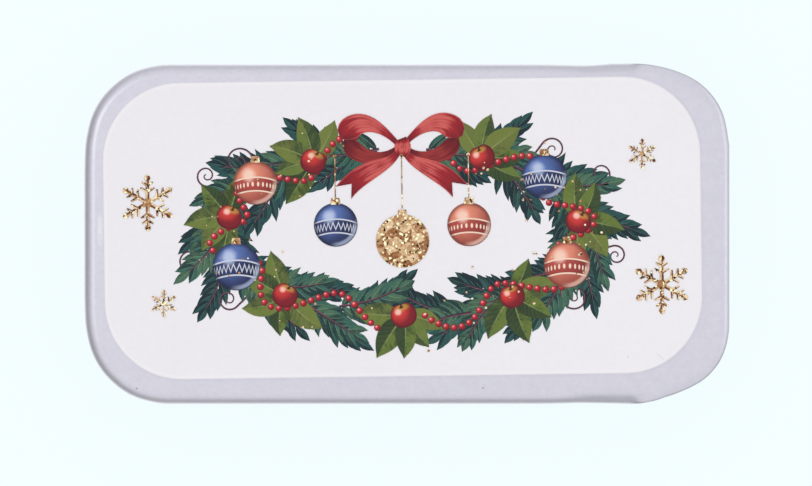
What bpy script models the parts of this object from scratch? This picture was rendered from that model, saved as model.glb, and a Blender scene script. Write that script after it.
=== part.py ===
"""A flat tin with a sliding lid, for beads, at its real size in metres with +Z up.

The tin is two pieces of pressed tinplate and a label.  The base is a drawn tray
whose rim is curled outwards into a round bead.  The lid is a flat plate whose
edge is rolled down and under that bead along both long sides and round one end,
so it slides off towards that end.  The other end is left open as a flat lip with
a slight droop, which passes over the bead of the base.

The origin is on the floor, under the middle of the closed tin.
"""

import math

import bmesh
import bpy
from mathutils import Vector

# The closed tin, measured over the lid.
TIN_LENGTH = 0.0950
TIN_WIDTH = 0.0500
TIN_HEIGHT = 0.0150

# The tinplate that both pieces are pressed from, and the play between them.
SHEET = 0.0003
RUNNING_GAP = 0.00025

# The lid: its outline, the roll along its edge and the open lip.
CLOSED_CORNER_RADIUS = 0.0125
LIP_CORNER_RADIUS = 0.0120
ROLL_RADIUS = 0.0017
RAIL_TAPER = 0.0065
RAIL_FLARE = 0.00016
FLARE_PEAK_SHARE = 0.32
RAIL_PINCH = 0.00012
PINCH_LENGTH = 0.0095
PINCH_PEAK_SHARE = 0.38
LIP_DROOP = math.radians(35)
CORNER_DROOP = math.radians(12)
DROOP_FADES_BY = math.radians(50)

# The base: the gap left in its curled bead, the rounded foot and the raised panel underneath.
CURL_GAP = 0.00025
FOOT_RADIUS = 0.0018
FOOT_WIDTH = 0.0020
PANEL_SLOPE = 0.0009
PANEL_RISE = 0.0006

# The label, stuck on by hand a little off centre and a little turned.
LABEL_LENGTH = 0.0879
LABEL_WIDTH = 0.0435
LABEL_CORNER_RADIUS = 0.0114
LABEL_THICKNESS = 0.00015
ADHESIVE = 0.0001
LABEL_SHIFT_X = -0.0007
LABEL_SHIFT_Y = 0.0010
LABEL_TURN = math.radians(0.7)

# How finely curves are cut into facets.
CORNER_STEPS = 12
TAPER_STEPS = 9
PINCH_STEPS = 6
ROLL_STEPS = 12
CURL_STEPS = 13
FOOT_STEPS = 5
PANEL_STEPS = 4
LABEL_STEPS = 12

MERGE = 0.00001

# Where the roll and the bead lie, worked out from the sizes above.
HALF_LENGTH = TIN_LENGTH / 2
HALF_WIDTH = TIN_WIDTH / 2
ROLL_MID_RADIUS = ROLL_RADIUS - SHEET / 2
ROLL_INNER_RADIUS = ROLL_RADIUS - SHEET
ROLL_AXIS_Z = TIN_HEIGHT - ROLL_RADIUS
LIP_START_X = HALF_LENGTH - LIP_CORNER_RADIUS

# The bead fits between the drooping lip above it and the tucked edge below it.
LIP_UNDERSIDE_Z = ROLL_AXIS_Z + ROLL_INNER_RADIUS * math.cos(LIP_DROOP)
TUCK_TOP_Z = ROLL_AXIS_Z - ROLL_INNER_RADIUS
BEAD_TOP_Z = LIP_UNDERSIDE_Z - RUNNING_GAP
BEAD_BOTTOM_Z = TUCK_TOP_Z + RUNNING_GAP
BEAD_RADIUS = (BEAD_TOP_Z - BEAD_BOTTOM_Z) / 2
BEAD_MID_RADIUS = BEAD_RADIUS - SHEET / 2
BEAD_AXIS_Z = BEAD_BOTTOM_Z + BEAD_RADIUS
BEAD_AXIS_INSET = SHEET + RUNNING_GAP + RAIL_PINCH + BEAD_RADIUS
WALL_INSET = BEAD_AXIS_INSET + BEAD_MID_RADIUS

# The bead is curled round until its edge nearly meets the wall again.
CURL_EDGE_REACH = (CURL_GAP + SHEET / 2 - BEAD_MID_RADIUS) / BEAD_RADIUS
CURL_SWEEP = math.pi + math.acos(CURL_EDGE_REACH)

# The tucked edge of the roll reaches inwards until it nearly meets the wall.
TUCK_LENGTH = WALL_INSET - SHEET / 2 - RUNNING_GAP - ROLL_RADIUS
ROLL_FLANGE = math.pi * ROLL_MID_RADIUS + TUCK_LENGTH
LIP_FLANGE = LIP_DROOP * ROLL_MID_RADIUS
CORNER_FLANGE = CORNER_DROOP * ROLL_MID_RADIUS


def clear_scene():
    """Removes whatever the scene holds, such as Blender's startup objects."""
    for obj in list(bpy.data.objects):
        bpy.data.objects.remove(obj)


def make_material(name, colour, roughness, metallic):
    material = bpy.data.materials.new(name)
    material.use_nodes = True
    shader = material.node_tree.nodes["Principled BSDF"]
    shader.inputs["Base Color"].default_value = (*colour, 1.0)
    shader.inputs["Roughness"].default_value = roughness
    shader.inputs["Metallic"].default_value = metallic
    return material


def smooth_step(share):
    """Eases from 0 to 1 as share goes from 0 to 1, and stays level outside."""
    share = min(max(share, 0.0), 1.0)
    return share * share * (3 - 2 * share)


def mix(start, end, share):
    return start + (end - start) * share


def hump(share, peak_share):
    """Eases up from 0 to 1 at peak_share and back down to 0 at share 1."""
    if share < peak_share:
        return smooth_step(share / peak_share)
    return smooth_step((1 - share) / (1 - peak_share))


def corner(centre_x, centre_y, radius, start_angle):
    """A quarter turn of an outline: (point, outward direction) pairs."""
    stations = []
    for step in range(CORNER_STEPS + 1):
        angle = start_angle + math.pi / 2 * step / CORNER_STEPS
        outward = Vector((math.cos(angle), math.sin(angle)))
        stations.append((Vector((centre_x, centre_y)) + radius * outward, outward))
    return stations


def half_outline(half_length, half_width, front_radius, back_radius, side_places=()):
    """Half a rounded rectangle, from the middle of the +X end to the middle of the -X end.

    side_places are points along X where the straight side gets a station of its own.
    """
    stations = [(Vector((half_length, 0)), Vector((1, 0)))]
    stations += corner(half_length - front_radius, half_width - front_radius, front_radius, 0)
    stations += [(Vector((x, half_width)), Vector((0, 1))) for x in side_places]
    stations += corner(back_radius - half_length, half_width - back_radius, back_radius, math.pi / 2)
    stations.append((Vector((-half_length, 0)), Vector((-1, 0))))
    return stations


def pressed_sheet(name, rings, material):
    """A sheet-metal pressing.  rings[0] is the edge of its flat panel, and each later ring
    lies further along the sheet, as far as its free edge.  Each ring is half an outline,
    and Mirror makes the other half before Solidify gives the sheet its thickness.
    """
    stations = len(rings[0])
    bm = bmesh.new()
    bmesh.ops.create_grid(bm, x_segments=stations - 1, y_segments=len(rings) - 1, size=1)
    bm.verts.ensure_lookup_table()
    for index, vert in enumerate(bm.verts):
        vert.co = rings[index // stations][index % stations]
    bm.faces.new([bm.verts[index] for index in range(stations)])
    bmesh.ops.recalc_face_normals(bm, faces=bm.faces)
    mesh = bpy.data.meshes.new(name)
    bm.to_mesh(mesh)
    bm.free()
    mesh.shade_smooth()
    mesh.materials.append(material)
    pressing = bpy.data.objects.new(name, mesh)

    mirror = pressing.modifiers.new("Other half", "MIRROR")
    mirror.use_axis = (False, True, False)
    mirror.merge_threshold = MERGE
    thickness = pressing.modifiers.new("Sheet thickness", "SOLIDIFY")
    thickness.thickness = SHEET
    thickness.offset = 0.0
    thickness.use_even_offset = True
    pressing.modifiers.new("Flat faces stay flat", "WEIGHTED_NORMAL")
    return pressing


def lid_side_places():
    """Stations along the lid's side: the taper at the rail's end, then the pinch behind it."""
    taper = [LIP_START_X - RAIL_TAPER * step / TAPER_STEPS for step in range(1, TAPER_STEPS + 1)]
    pinch = [taper[-1] - PINCH_LENGTH * step / PINCH_STEPS for step in range(1, PINCH_STEPS + 1)]
    return taper + pinch


def lid_flange(point, outward):
    """How far the sheet runs on past the plate here, along its own surface."""
    if point.x >= LIP_START_X:
        turned = math.atan2(outward.y, outward.x)
        return mix(LIP_FLANGE, CORNER_FLANGE, smooth_step(turned / DROOP_FADES_BY))
    rolled = smooth_step((LIP_START_X - point.x) / RAIL_TAPER)
    return mix(CORNER_FLANGE, ROLL_FLANGE, rolled)


def rail_ripple(x):
    """The rail flares out a little where its taper starts, and is pinched just behind."""
    taper_end = LIP_START_X - RAIL_TAPER
    flare = hump((LIP_START_X - x) / RAIL_TAPER, FLARE_PEAK_SHARE)
    pinch = hump((taper_end - x) / PINCH_LENGTH, PINCH_PEAK_SHARE)
    return RAIL_FLARE * flare - RAIL_PINCH * pinch


def roll_point(station, run):
    """The middle of the sheet at a distance run past the plate: round the roll, then inwards."""
    point, outward = station
    reach = min(lid_flange(point, outward) / ROLL_MID_RADIUS, math.pi / 2)
    axis_inset = ROLL_RADIUS * math.sin(reach)
    turned = min(run / ROLL_MID_RADIUS, math.pi)
    tucked = run - turned * ROLL_MID_RADIUS
    inset = axis_inset - ROLL_MID_RADIUS * math.sin(turned) + tucked - rail_ripple(point.x)
    place = point - outward * inset
    return Vector((place.x, place.y, ROLL_MID_RADIUS * math.cos(turned)))


def make_lid(material):
    """The plate, with an edge that rolls under the bead and opens out into the lip.

    Its origin is level with the middle of the roll, where it slides on the bead.
    """
    stations = half_outline(
        HALF_LENGTH, HALF_WIDTH, LIP_CORNER_RADIUS, CLOSED_CORNER_RADIUS, lid_side_places()
    )
    arc_share = math.pi * ROLL_MID_RADIUS / ROLL_FLANGE
    run_shares = [arc_share * step / ROLL_STEPS for step in range(ROLL_STEPS + 1)] + [1.0]
    rings = [
        [roll_point(station, share * lid_flange(*station)) for station in stations]
        for share in run_shares
    ]
    lid = pressed_sheet("sliding_lid", rings, material)
    lid.location.z = ROLL_AXIS_Z
    return lid


def base_profile():
    """(outward from the wall, height) pairs along the middle of the base's sheet."""
    floor_z = SHEET / 2
    foot_mid_radius = FOOT_RADIUS - SHEET / 2
    panel_edge = foot_mid_radius + FOOT_WIDTH + PANEL_SLOPE
    profile = []
    for step in range(PANEL_STEPS + 1):
        share = step / PANEL_STEPS
        rise = PANEL_RISE * (1 - smooth_step(share))
        profile.append((PANEL_SLOPE * share - panel_edge, floor_z + rise))
    for step in range(FOOT_STEPS + 1):
        angle = math.pi / 2 * step / FOOT_STEPS
        rise = foot_mid_radius * (1 - math.cos(angle))
        profile.append((foot_mid_radius * (math.sin(angle) - 1), floor_z + rise))
    for step in range(CURL_STEPS + 1):
        angle = math.pi - CURL_SWEEP * step / CURL_STEPS
        outward = BEAD_MID_RADIUS * (1 + math.cos(angle))
        profile.append((outward, BEAD_AXIS_Z + BEAD_MID_RADIUS * math.sin(angle)))
    return profile


def make_base(material):
    """The drawn tray with its curled rim."""
    stations = half_outline(
        HALF_LENGTH - WALL_INSET,
        HALF_WIDTH - WALL_INSET,
        LIP_CORNER_RADIUS - WALL_INSET,
        CLOSED_CORNER_RADIUS - WALL_INSET,
    )
    rings = []
    for out, z in base_profile():
        places = [point + outward * out for point, outward in stations]
        rings.append([Vector((place.x, place.y, z)) for place in places])
    return pressed_sheet("base", rings, material)


def make_label(material):
    """A thin sheet with round corners, lying on the lid's plate."""
    bm = bmesh.new()
    bmesh.ops.create_grid(bm, x_segments=1, y_segments=1, size=1)
    for vert in bm.verts:
        vert.co.x *= LABEL_LENGTH / 2
        vert.co.y *= LABEL_WIDTH / 2
    bmesh.ops.bevel(
        bm,
        geom=bm.verts[:],
        affect="VERTICES",
        offset=LABEL_CORNER_RADIUS,
        segments=LABEL_STEPS,
        profile=0.5,
        material=-1,
    )
    mesh = bpy.data.meshes.new("label")
    bm.to_mesh(mesh)
    bm.free()
    mesh.materials.append(material)
    label = bpy.data.objects.new("label", mesh)
    thickness = label.modifiers.new("Label thickness", "SOLIDIFY")
    thickness.thickness = LABEL_THICKNESS
    thickness.offset = 1.0
    label.location = (LABEL_SHIFT_X, LABEL_SHIFT_Y, ROLL_RADIUS + ADHESIVE)
    label.rotation_euler.z = LABEL_TURN
    return label


def main():
    clear_scene()
    tin = bpy.data.collections.new("bead_tin")
    bpy.context.scene.collection.children.link(tin)
    base_tinplate = make_material("base_tinplate", (0.62, 0.62, 0.67), 0.34, 1.0)
    lid_tinplate = make_material("lid_tinplate", (0.65, 0.645, 0.72), 0.38, 1.0)
    label_paper = make_material("label_paper", (0.84, 0.82, 0.86), 0.55, 0.0)
    base = make_base(base_tinplate)
    lid = make_lid(lid_tinplate)
    label = make_label(label_paper)
    label.parent = lid
    for piece in (base, lid, label):
        tin.objects.link(piece)


main()
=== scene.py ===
# %% [markdown]
# # A slide-lid bead tin
#
# This script dresses a flat pressed tin: a drawn tray with a curled rim, a lid whose rolled
# edge slides along that curl, and a printed label.  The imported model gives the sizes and
# says what moves.  Here each solid gets a finer surface, with a finish built from nodes.

# %% Load the frame
import math
import random

import bmesh
import bpy
from mathutils import Matrix, Vector


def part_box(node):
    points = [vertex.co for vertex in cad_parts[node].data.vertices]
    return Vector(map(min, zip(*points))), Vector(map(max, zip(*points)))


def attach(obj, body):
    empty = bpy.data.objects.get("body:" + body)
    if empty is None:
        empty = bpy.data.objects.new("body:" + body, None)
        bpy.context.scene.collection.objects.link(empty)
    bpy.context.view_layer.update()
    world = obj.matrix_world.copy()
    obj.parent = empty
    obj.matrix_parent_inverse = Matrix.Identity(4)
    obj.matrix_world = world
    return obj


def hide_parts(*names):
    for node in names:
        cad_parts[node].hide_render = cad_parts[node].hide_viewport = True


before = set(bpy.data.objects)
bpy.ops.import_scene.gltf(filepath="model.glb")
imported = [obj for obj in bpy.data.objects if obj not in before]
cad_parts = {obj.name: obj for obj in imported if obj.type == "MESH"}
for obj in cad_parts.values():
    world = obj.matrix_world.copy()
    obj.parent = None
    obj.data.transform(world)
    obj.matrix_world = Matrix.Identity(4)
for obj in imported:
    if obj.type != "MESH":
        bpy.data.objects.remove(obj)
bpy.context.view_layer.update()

MM = 0.001
lid_low, lid_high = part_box("sliding_lid")
base_low, base_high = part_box("base")
print("lid", [round(size / MM, 2) for size in lid_high - lid_low], "mm")
print("base", [round(size / MM, 2) for size in base_high - base_low], "mm")

# %% [markdown]
# ## Sizes
#
# The sheet, the roll and the corners are as the tin was pressed.  The overall length and
# the plate's height come from the frame, so the surfaces sit exactly where the solids do.

# %% The pressed sizes
SHEET = 0.3 * MM
CLOSED_CORNER_RADIUS = 12.5 * MM
LIP_CORNER_RADIUS = 12.0 * MM
ROLL_RADIUS = 1.7 * MM
RAIL_TAPER = 6.5 * MM
RAIL_FLARE = 0.16 * MM
PINCH_LENGTH = 9.5 * MM
RUNNING_GAP = 0.25 * MM
LIP_DROOP = math.radians(36)
CORNER_DROOP = math.radians(30)
DROOP_FADES_BY = math.radians(60)

LABEL_LENGTH = 87.83 * MM
LABEL_WIDTH = 43.61 * MM
LABEL_CORNER_RADIUS = 11.4 * MM
LABEL_MIDDLE = Vector((-0.63, 0.90)) * MM
LABEL_TURN = math.radians(0.78)

HALF_LENGTH = (lid_high.x - lid_low.x) / 2
HALF_WIDTH = (lid_high.y - lid_low.y) / 2 - RAIL_FLARE
PLATE_TOP = lid_high.z
ROLL_MID_RADIUS = ROLL_RADIUS - SHEET / 2
ROLL_AXIS_Z = PLATE_TOP - ROLL_RADIUS
LIP_START_X = HALF_LENGTH - LIP_CORNER_RADIUS

BEAD_OUTSIDE = base_high.y
BEAD_TOP = base_high.z
TUCK_TOP = ROLL_AXIS_Z - ROLL_RADIUS + SHEET
BEAD_RADIUS = (BEAD_TOP - TUCK_TOP - RUNNING_GAP) / 2
BEAD_MID_RADIUS = BEAD_RADIUS - SHEET / 2
BEAD_AXIS_Z = BEAD_TOP - BEAD_RADIUS
WALL_INSET = HALF_WIDTH - BEAD_OUTSIDE + BEAD_RADIUS + BEAD_MID_RADIUS
CURL_SWEEP = math.pi + math.acos((RUNNING_GAP + SHEET / 2 - BEAD_MID_RADIUS) / BEAD_RADIUS)
TUCK_LENGTH = WALL_INSET - SHEET / 2 - RUNNING_GAP - ROLL_RADIUS
print("bead radius", round(BEAD_RADIUS / MM, 3), "mm, wall inset", round(WALL_INSET / MM, 3), "mm")

# %% [markdown]
# ## Where the photograph was taken from
#
# The camera looks straight down on the lid from well above, through a long lens, so the
# tin's sides stay hidden under the rolled edge.  The lens follows from the picture's scale.

# %% The camera
IMAGE_WIDTH = 812
IMAGE_HEIGHT = 486
PIXELS_PER_MM = 6.803
TIN_MIDDLE_PX = (406.75, 234.15)
CAMERA_HEIGHT = 0.70

scene = bpy.context.scene


def put_in_scene(name, data):
    """A new object that shows this camera, lamp or mesh."""
    made = bpy.data.objects.new(name, data)
    scene.collection.objects.link(made)
    return made


camera_data = bpy.data.cameras.new("camera")
camera_data.sensor_width = 36.0
view_width = IMAGE_WIDTH / PIXELS_PER_MM * MM
camera_data.lens = camera_data.sensor_width * CAMERA_HEIGHT / view_width
camera_data.clip_start = 0.01
camera_data.clip_end = 20.0
scene.camera = put_in_scene("camera", camera_data)
scene.camera.location = (
    (IMAGE_WIDTH / 2 - TIN_MIDDLE_PX[0]) / PIXELS_PER_MM * MM,
    (TIN_MIDDLE_PX[1] - IMAGE_HEIGHT / 2) / PIXELS_PER_MM * MM,
    PLATE_TOP + CAMERA_HEIGHT,
)
print("lens", round(camera_data.lens, 1), "mm")

# %% [markdown]
# ## Writing finishes as sums
#
# A finish is a web of nodes, which is hard to read in a script.  This class wraps one wire
# of it, so that a mask can be written as `1 - edge * wear` and its Math nodes follow.

# %% A wire that can be added and multiplied


def math_node(operation, reflected=False):
    """A method that joins a wire and whatever it meets in one Math node."""

    def method(self, *others):
        values = (*others, self) if reflected else (self, *others)
        return self.node("ShaderNodeMath", {"operation": operation}, dict(enumerate(values)))

    return method


class Wire:
    """One output of a shader node, with Python's operators on it."""

    def __init__(self, tree, socket=None):
        self.tree = tree
        self.socket = socket

    def node(self, kind, settings=None, inputs=None, output=0):
        """A new node: its settings first, then the value or the wire of each input."""
        made = self.tree.nodes.new(kind)
        for name, value in (settings or {}).items():
            if name == "stops":
                lay_stops(made.color_ramp, value)
            else:
                setattr(made, name, value)
        for name, value in (inputs or {}).items():
            if isinstance(value, Wire):
                self.tree.links.new(value.socket, made.inputs[name])
            else:
                made.inputs[name].default_value = value
        return Wire(self.tree, made.outputs[output])

    __add__ = math_node("ADD")
    __radd__ = math_node("ADD", reflected=True)
    __sub__ = math_node("SUBTRACT")
    __rsub__ = math_node("SUBTRACT", reflected=True)
    __mul__ = math_node("MULTIPLY")
    __rmul__ = math_node("MULTIPLY", reflected=True)
    __truediv__ = math_node("DIVIDE")
    __rtruediv__ = math_node("DIVIDE", reflected=True)
    __abs__ = math_node("ABSOLUTE")
    root = math_node("SQRT")
    at_least = math_node("MAXIMUM")
    sawtooth = math_node("FRACT")  # goes from 0 to 1 over and over

    def parts(self):
        """The X, Y and Z of a vector."""
        split = self.node("ShaderNodeSeparateXYZ", {}, {0: self}).socket.node
        return [Wire(self.tree, output) for output in split.outputs]

    def ease(self, low, high):
        """0 up to low, 1 from high, and a soft step between."""
        inputs = {"Value": self, "From Min": low, "From Max": high}
        return self.node("ShaderNodeMapRange", {"interpolation_type": "SMOOTHSTEP"}, inputs)

    def blend(self, start, end):
        """The colour start where this wire is 0, and end where it is 1."""
        settings = {"data_type": "RGBA", "clamp_result": True}
        inputs = {0: self, 6: rgba(start), 7: rgba(end)}
        return self.node("ShaderNodeMix", settings, inputs, output=2)


def rgba(colour):
    return colour if isinstance(colour, Wire) else (*colour, 1.0)


def lay_stops(ramp, stops):
    """Fills a colour ramp from (place, colour) pairs."""
    while len(ramp.elements) < len(stops):
        ramp.elements.new(0.5)
    for element, (place, colour) in zip(ramp.elements, stops):
        element.position = place
        element.color = (*colour, 1.0)


class Finish(Wire):
    """A new material, with the places on its object.  uniform sets what doesn't vary."""

    def __init__(self, name, uniform):
        self.material = bpy.data.materials.new(name)
        self.material.use_nodes = True
        super().__init__(self.material.node_tree)
        self.shader = self.tree.nodes["Principled BSDF"]
        for socket, value in uniform.items():
            self.shader.inputs[socket].default_value = value
        self.places = self.node("ShaderNodeTexCoord", output="Object")

    def feed(self, socket, wire):
        self.tree.links.new(wire.socket, self.shader.inputs[socket])

    def coloured(self, wire):
        """The material, once its colour is fed too."""
        self.feed("Base Color", wire)
        return self.material

    def noise(self, scale, detail=2.0, roughness=0.5, places=None):
        inputs = {"Scale": scale, "Detail": detail, "Roughness": roughness}
        return self.node("ShaderNodeTexNoise", {}, {"Vector": places or self.places, **inputs})

    def waver(self, *settings, **others):
        """A noise that runs up to a half either way from 0."""
        return self.noise(*settings, **others) - 0.5

    def mapped(self, kind, **moved):
        """The places, moved, turned or stretched before a pattern reads them."""
        inputs = {"Vector": self.places, **moved}
        return self.node("ShaderNodeMapping", {"vector_type": kind}, inputs)

    def attribute(self, name):
        return self.node("ShaderNodeAttribute", {"attribute_name": name}, output="Fac")

    def bump(self, height, strength, depth):
        inputs = {"Height": height, "Strength": strength, "Distance": depth}
        self.feed("Normal", self.node("ShaderNodeBump", {}, inputs, output="Normal"))


# %% [markdown]
# ## A pale room and two strip lamps
#
# Satin metal shows a blurred picture of the room, so the room matters more than the lamps.
# It is bright overhead, which makes the flat plate pale.  It darkens towards the horizon,
# more so on the left and in front, which draws the rolled edge as a line that differs from
# side to side.  Below is the glare of the table, which the outermost rim shows.  A strip
# lamp on each side gives the bright line where the left edge and the open lip turn down.
# The left one is broad and turned to the back, as its line runs on round that corner.

# %% The room and the lamps
OVERHEAD = 1.07
HORIZON = 0.74
HORIZON_ENDS = -0.16
HORIZON_RIGHT = 0.055
HORIZON_BACK = 0.118
DIM_LEFT = 0.10
TABLE_GLARE = 0.45
LAMP_DISTANCE = 1.1


def make_room():
    scene.world = bpy.data.worlds.new("pale_room")
    scene.world.use_nodes = True
    start = Wire(scene.world.node_tree)
    across, back, up = start.node("ShaderNodeTexCoord", output="Generated").parts()
    ends = across * across * HORIZON_ENDS + across * HORIZON_RIGHT
    horizon = HORIZON + ends + back * HORIZON_BACK
    brightness = horizon + (OVERHEAD - horizon) * up.ease(-0.1, 0.85)
    brightness += up.ease(-0.3, -0.8) * TABLE_GLARE
    low_left = across.ease(-0.3, -0.8) * up.ease(0.0, 0.4) * up.ease(0.85, 0.6)
    background = scene.world.node_tree.nodes["Background"]
    background.inputs["Color"].default_value = (1, 1, 1, 1)
    brightness -= low_left * DIM_LEFT
    start.tree.links.new(brightness.socket, background.inputs["Strength"])


def strip_lamp(name, lean, turn, size, power):
    """A lamp that faces the tin, leant from overhead to +X and then turned, in degrees."""
    data = bpy.data.lights.new(name, "AREA")
    data.shape = "RECTANGLE"
    data.size, data.size_y = size
    data.energy = power
    lamp = put_in_scene(name, data)
    lamp.rotation_euler = (0, math.radians(lean), math.radians(turn))
    lamp.location = lamp.rotation_euler.to_matrix() @ Vector((0, 0, LAMP_DISTANCE))


make_room()
strip_lamp("strip_lamp_left", lean=-28, turn=-20, size=(0.50, 0.27), power=0.31)
strip_lamp("strip_lamp_right", lean=36, turn=10, size=(0.16, 0.62), power=0.21)
scene.view_settings.view_transform = "Standard"
scene.view_settings.look = "None"

# %% [markdown]
# ## Tinplate
#
# The tin is steel sheet, thinly coated with tin under a satin lacquer.  The mill leaves a
# fine grain along it, and the lacquer lies a little unevenly over a few specks.  At its cut
# edge the steel is bare and blue grey, and that colour is also painted as shade along the
# lip's rim and over the sag at the rail ends.  A painted shadow lies along the label's lower
# and right edges, the lid is rubbed at its left end, and beads have scratched the bottom of
# the tray.

# %% The tinplate finish
# Each speck is (x, y, radius), in mm.
SPECKS = [(-39.7, -22.7, 0.22), (11.2, -22.6, 0.20), (46.4, 9.0, 0.09)]
# The blue grey of bare steel, also used as painted shade on the lid's rim and sag.
BARE_STEEL_AND_SHADE = (0.20, 0.21, 0.27)


def spot(finish, x, y, radius, core):
    """1 on a spot on the lid, up to core from its middle, and 0 past its radius, in mm."""
    ends = {0: finish.places, 1: (x * MM, y * MM, PLATE_TOP)}
    away = finish.node("ShaderNodeVectorMath", {"operation": "DISTANCE"}, ends, output="Value")
    return away.ease(radius * MM, core * MM)


def label_edge(finish):
    """How far outside the label's edge each place lies, and its x and y along the label."""
    turn = (0, 0, LABEL_TURN)
    x, y, _ = finish.mapped("TEXTURE", Location=(*LABEL_MIDDLE, 0), Rotation=turn).parts()
    past_x = (abs(x) - (LABEL_LENGTH / 2 - LABEL_CORNER_RADIUS)).at_least(0)
    past_y = (abs(y) - (LABEL_WIDTH / 2 - LABEL_CORNER_RADIUS)).at_least(0)
    return distance(past_x, past_y) - LABEL_CORNER_RADIUS, x, y


def distance(x, y):
    return (x * x + y * y).root()


def marks_and_label_shadow(finish, tone):
    """Specks under the lacquer, a rubbed place, and a painted shadow by the label's lower and
    right edges.
    """
    for x, y, radius in SPECKS:
        speck = spot(finish, x, y, radius, core=radius * 0.4)
        tone = (speck * 0.55).blend(tone, (0.16, 0.16, 0.19))
    x, y, _ = finish.places.parts()
    rubbed = abs(x + 45.1 * MM).ease(0.5 * MM, 0.15 * MM)
    rubbed *= abs(y - 0.4 * MM).ease(3.6 * MM, 0.8 * MM)
    rubbed *= finish.noise(900.0).ease(0.3, 0.6)
    tone = (rubbed * 0.6).blend(tone, (0.76, 0.76, 0.82))
    outside, x, y = label_edge(finish)
    # Painted shadow of the label: a faint dark line just outside its lower and right edges.
    label_shadow = abs(outside - 0.26 * MM).ease(0.24 * MM, 0.06 * MM)
    label_shadow *= (x - y * 1.6).ease(-45 * MM, 15 * MM)
    return (label_shadow * 0.05).blend(tone, (0.25, 0.25, 0.30))


def scuffs(finish, tone):
    """Fine scratches in three directions over the tray's bottom."""
    _, _, up = finish.places.parts()
    for turn in (0.35, -0.6, 1.9):
        stretched = finish.mapped("TEXTURE", Rotation=(0, 0, turn), Scale=(24.0, 1.0, 1.0))
        line = finish.noise(2400.0, detail=1.0, places=stretched).ease(0.68, 0.76)
        tone = (line * up.ease(1.5 * MM, 1.0 * MM) * 0.4).blend(tone, (0.80, 0.80, 0.86))
    return tone


def tinplate(name, colour, shadow, marked):
    """Satin sheet, from its two tones, with its bare edge and painted shade; marked adds the marks
    of use, on the lid with a painted shadow, to its colour.
    """
    finish = Finish(name, {"Metallic": 1.0, "Coat Weight": 0.15, "Coat Roughness": 0.25})
    grain = finish.waver(9000.0, places=finish.mapped("POINT", Scale=(0.12, 1.0, 1.0)))
    mottle = finish.waver(1700.0, detail=3.0, roughness=0.7)
    clouds = finish.waver(150.0, detail=3.0, roughness=0.6)
    tone = clouds * 0.4 + finish.waver(620.0) * 0.8 + mottle * 2.0 + 0.5
    # Bare cut edge, and painted shade on the lip's rim, the sag and just inside the rim.
    bare_and_shaded = finish.attribute("worn_coat")
    coated = (bare_and_shaded * 0.6).blend(tone.blend(shadow, colour), BARE_STEEL_AND_SHADE)
    finish.feed("Roughness", 0.31 + clouds * 0.08 + mottle * 0.10)
    finish.bump((grain + mottle) * 0.5, 0.12, 0.02 * MM)
    return finish.coloured(marked(finish, coated))


lid_finish = tinplate(
    "tinplate_on_the_lid", (0.632, 0.626, 0.704), (0.578, 0.572, 0.649), marks_and_label_shadow
)
tray_finish = tinplate("tinplate_of_the_tray", (0.60, 0.595, 0.655), (0.55, 0.545, 0.605), scuffs)

# %% [markdown]
# ## Pressing a sheet
#
# Both halves start as a flat rounded plate, and the press draws its rim down or round,
# which extruding the rim edge by edge does here.  Each vertex remembers the point of the
# outline that it came from, so one formula says where it goes.

# %% A rounded plate, and a rim drawn outwards from it
CORNER_SEGMENTS = 24


def eased(share):
    share = min(max(share, 0.0), 1.0)
    return share * share * (3 - 2 * share)


def rounded_plate(half_length, half_width, front_radius, back_radius):
    """One flat face with round corners, whose +X end may have its own corner radius."""
    bm = bmesh.new()
    corners = bmesh.ops.create_grid(bm, x_segments=1, y_segments=1, size=1)["verts"]
    bmesh.ops.scale(bm, verts=corners, vec=(half_length, half_width, 1))
    for sign, radius in ((1, front_radius), (-1, back_radius)):
        ends = [vert for vert in bm.verts if vert.co.x * sign > half_length - radius / 2]
        rounding = {"segments": CORNER_SEGMENTS, "profile": 0.5, "material": -1}
        bmesh.ops.bevel(bm, geom=ends, affect="VERTICES", offset=radius, **rounding)
    return bm


def outward(point, half_length, half_width, front_radius, back_radius):
    """The direction in which the outline faces at one of its points."""
    radius = front_radius if point.x > 0 else back_radius
    centre_x = min(max(point.x, back_radius - half_length), half_length - front_radius)
    centre_y = min(max(point.y, radius - half_width), half_width - radius)
    return (Vector((point.x, point.y, 0)) - Vector((centre_x, centre_y, 0))).normalized()


def draw_rim(bm, place, steps):
    """Extrudes the rim step by step.  place(outline point, step) says where a vertex goes."""
    remembered = bm.verts.layers.float_vector.new("outline")
    rim = [edge for edge in bm.edges if edge.is_boundary]
    for vert in {vert for edge in rim for vert in edge.verts}:
        vert[remembered] = vert.co
        vert.co = place(Vector(vert[remembered]), 0)
    for step in range(1, steps + 1):
        made = bmesh.ops.extrude_edge_only(bm, edges=rim)["geom"]
        verts = {item for item in made if isinstance(item, bmesh.types.BMVert)}
        for vert in verts:
            vert.co = place(Vector(vert[remembered]), step)
        edges = [item for item in made if isinstance(item, bmesh.types.BMEdge)]
        rim = [edge for edge in edges if verts.issuperset(edge.verts)]
    return remembered


# %% A drawn surface made a sheet


def mesh_piece(bm, name, material):
    """Turns a bmesh into an object in the scene."""
    mesh = bpy.data.meshes.new(name)
    bm.to_mesh(mesh)
    bm.free()
    mesh.materials.append(material)
    print(name, len(mesh.polygons), "faces")
    return put_in_scene(name, mesh)


def thicken(piece, thickness, offset, dulled):
    """Gives a surface a sheet's thickness, and dulls the cut edge with a small bevel."""
    sheet = piece.modifiers.new("Sheet thickness", "SOLIDIFY")
    sheet.thickness = thickness
    sheet.offset = offset
    sheet.use_even_offset = True
    cut_edge = piece.modifiers.new("Dulled cut edge", "BEVEL")
    cut_edge.width = dulled
    cut_edge.segments = 3
    cut_edge.limit_method = "ANGLE"
    cut_edge.angle_limit = math.radians(60)


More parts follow.
